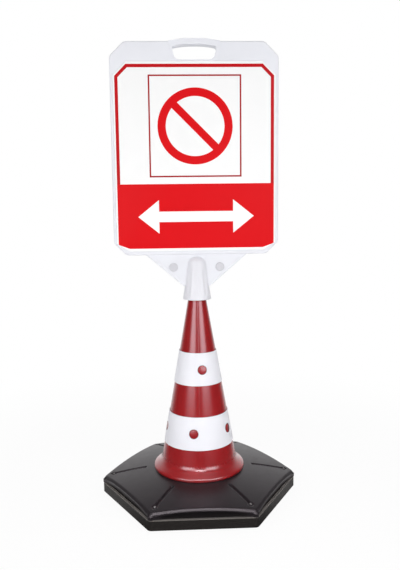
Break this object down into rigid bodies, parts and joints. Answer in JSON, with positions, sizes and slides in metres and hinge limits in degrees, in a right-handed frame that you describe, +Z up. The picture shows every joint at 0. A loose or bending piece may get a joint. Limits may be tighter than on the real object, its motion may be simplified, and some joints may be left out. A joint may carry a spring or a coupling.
{
  "type": "cone sign",
  "caption": "Portable road sign: white hollow board with hand hole and socket on a red traffic cone with white sleeves, standing on a weighted black hexagonal base.",
  "frame": {"origin": "on the ground under the cone's axis", "axes": "+Z up along the cone's axis, -Y towards the front of the board, +X to the right seen from the front"},
  "size_m": [0.4468, 0.3898, 1.0179],
  "materials": {
    "tray_black": "coarse recycled plastic",
    "cover_black": "satin",
    "concrete": "cast concrete",
    "pad_rubber": "matte",
    "screw_steel": "zinc plated",
    "cone_red": "satin moulded",
    "sleeve_white": "reflective film",
    "bush_grey": "moulded",
    "board_white": "satin moulded",
    "label_sheet": "printed film",
    "rivet_grey": "moulded"
  },
  "bodies": {
    "stand": {"base_tray": "tray_black", "base_cover": "cover_black", "ballast_block": "concrete", "foot_pads": "pad_rubber", "tray_screws": "screw_steel", "cone_body": "cone_red", "cone_screws": "screw_steel", "lower_sleeve": "sleeve_white", "upper_sleeve": "sleeve_white"},
    "bush": {"socket_bush": "bush_grey"},
    "sign": {"front_shell": "board_white", "rear_shell": "board_white", "front_label": "label_sheet", "gusset_rivets": "rivet_grey", "board_screws": "screw_steel"}
  },
  "joints": [
    {"name": "sign_lift", "type": "slide", "parent": "stand", "child": "bush", "axis": [0, 0, 1], "range_m": [0, 0.12]},
    {"name": "sign_turn", "type": "hinge", "parent": "bush", "child": "sign", "pos_m": [0, 0, 0.48], "axis": [0, 0, 1], "continuous": true}
  ]
}
